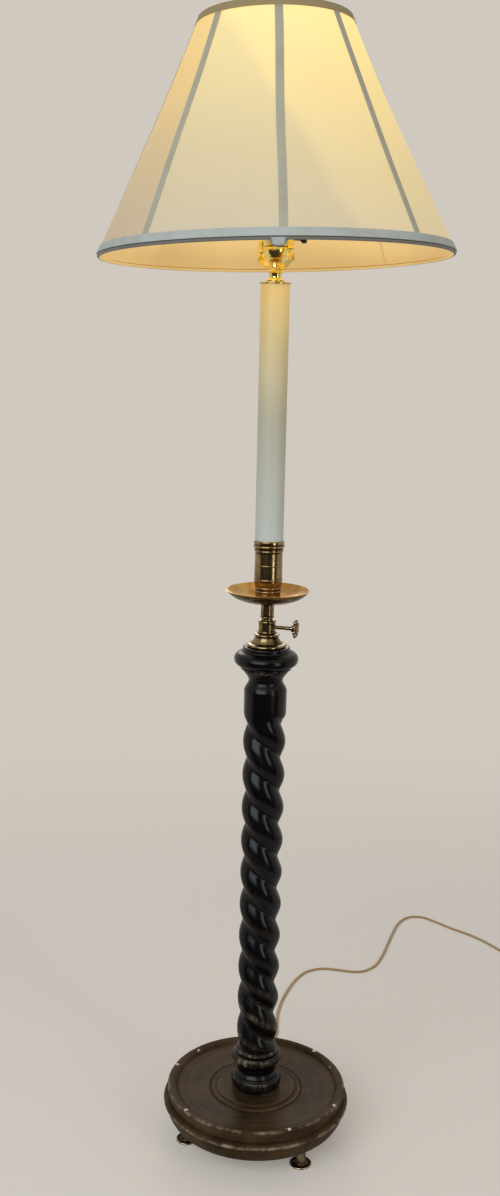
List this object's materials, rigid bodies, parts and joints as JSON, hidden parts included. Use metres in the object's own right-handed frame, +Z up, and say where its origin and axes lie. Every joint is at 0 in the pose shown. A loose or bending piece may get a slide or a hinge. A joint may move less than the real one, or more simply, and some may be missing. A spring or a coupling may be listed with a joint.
{
  "type": "candlestick floor lamp",
  "caption": "Floor lamp with a turned dish base on brass feet, a spiral-twist wooden column, a telescoping candle-style top and a tapered fabric shade on a harp.",
  "frame": {"origin": "on the floor under the column's axis, at the centre of the base", "axes": "+Z up along the column, -Y towards the viewer of the picture, +X to the viewer's right"},
  "size_m": [0.8305, 0.9771, 1.5611],
  "materials": {
    "ebonised_wood": "gloss",
    "worn_wood": "satin",
    "aged_brass": "satin",
    "bright_brass": "polished",
    "steel": "brushed",
    "iron": "cast",
    "ivory_sleeve": "satin",
    "silk": "fabric over stiff lining",
    "braid": "woven tape",
    "black_plastic": "gloss",
    "liner_card": "matt fibre card",
    "bulb": "opal",
    "cord_jacket": "glossy jacket"
  },
  "bodies": {
    "root": {"feet": "aged_brass", "foot_screws": "steel", "base_disc": "worn_wood", "base_weight": "iron", "weight_screws": "steel", "lock_washer": "steel", "lock_nut": "steel", "column_foot": "ebonised_wood", "twist_column": "ebonised_wood", "column_neck": "ebonised_wood", "capital": "ebonised_wood", "tie_tube": "steel", "bell_collar": "aged_brass", "inner_lead": "cord_jacket", "cord_bushing": "black_plastic", "cord_run": "cord_jacket", "cord_coil": "cord_jacket", "plug_body": "cord_jacket", "plug_blades": "bright_brass"},
    "clamp": {"clamp_pad": "bright_brass"},
    "thumbscrew_body": {"thumbscrew": "aged_brass"},
    "slider": {"rod_bush": "bright_brass"},
    "upper": {"height_rod": "aged_brass", "rod_plug": "bright_brass", "pan_sleeve": "aged_brass", "drip_pan": "bright_brass", "candle_cup": "aged_brass", "candle_sleeve": "ivory_sleeve", "candle_cap": "bright_brass", "lamp_pipe": "steel", "flared_nut": "bright_brass", "harp_saddle": "bright_brass", "harp_ferrules": "bright_brass", "harp_wire": "bright_brass", "harp_stud": "bright_brass", "socket_cap": "bright_brass", "socket_shell": "bright_brass", "socket_liner": "liner_card", "socket_core": "black_plastic", "screw_shell": "bright_brass", "centre_contact": "bright_brass", "bulb_base": "steel", "bulb_glass": "bulb", "upper_lead": "cord_jacket"},
    "switch": {"switch_shaft": "black_plastic", "switch_knob": "black_plastic"},
    "shade": {"shade_fitter": "bright_brass", "shade_top_ring": "steel", "shade_bottom_ring": "steel", "shade_ribs": "steel", "shade_fabric": "silk", "rib_tapes": "braid", "top_trim": "braid", "bottom_trim": "braid"},
    "finial_body": {"finial": "bright_brass"}
  },
  "joints": [
    {"name": "clamp_slide", "type": "slide", "parent": "root", "child": "clamp", "axis": [0.9563, -0.2924, 0], "range_m": [0, 0.001]},
    {"name": "thumbscrew_turn", "type": "hinge", "parent": "clamp", "child": "thumbscrew_body", "pos_m": [0, 0, 0.7682], "axis": [0.9563, -0.2924, 0], "range_deg": [0, 361]},
    {"name": "height_slide", "type": "slide", "parent": "root", "child": "slider", "axis": [0, 0, 1], "range_m": [0, 0.32]},
    {"name": "rod_swivel", "type": "hinge", "parent": "slider", "child": "upper", "pos_m": [0, 0, 0.4], "axis": [0, 0, 1], "range_deg": [-180, 180]},
    {"name": "switch_turn", "type": "hinge", "parent": "upper", "child": "switch", "pos_m": [0.02, 0, 1.2767], "axis": [1, 0, 0], "continuous": true},
    {"name": "shade_turn", "type": "hinge", "parent": "upper", "child": "shade", "pos_m": [-0.00759, 0.00902, 1.52924], "axis": [-0.0279, 0.0332, 0.9991], "continuous": true},
    {"name": "finial_turn", "type": "hinge", "parent": "upper", "child": "finial_body", "pos_m": [-0.00759, 0.00902, 1.52924], "axis": [-0.0279, 0.0332, 0.9991], "continuous": true}
  ],
  "couplings": [
    {"joint": "thumbscrew_turn", "follows": "clamp_slide", "rad_per_m": 6283.2}
  ]
}
